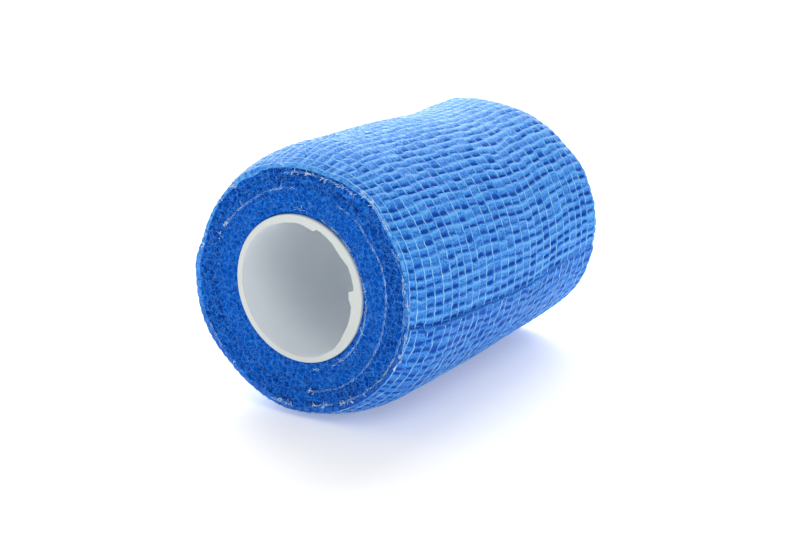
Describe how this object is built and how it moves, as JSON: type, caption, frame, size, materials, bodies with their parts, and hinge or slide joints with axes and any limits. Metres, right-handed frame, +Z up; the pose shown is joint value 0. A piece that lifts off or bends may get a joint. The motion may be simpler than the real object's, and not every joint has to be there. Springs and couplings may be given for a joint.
{
  "type": "cohesive bandage roll",
  "caption": "Self-adhering crepe bandage wound on a plain plastic core, lying on its side, with its cut end laid down on the roll.",
  "frame": {"origin": "centre of the bounding box's base, on the floor that the roll rests on", "axes": "+Y along the roll's axis, away from the open end that faces the viewer in the picture; +Z up"},
  "size_m": [0.054, 0.076, 0.0537],
  "materials": {
    "crepe_cloth": "matte crepe of thin non-woven layers, puckered by elastic threads",
    "core_plastic": "smooth extruded tube with sawn ends"
  },
  "bodies": {
    "root": {"bandage_roll": "crepe_cloth", "loose_end": "crepe_cloth", "core_tube": "core_plastic"}
  },
  "joints": []
}
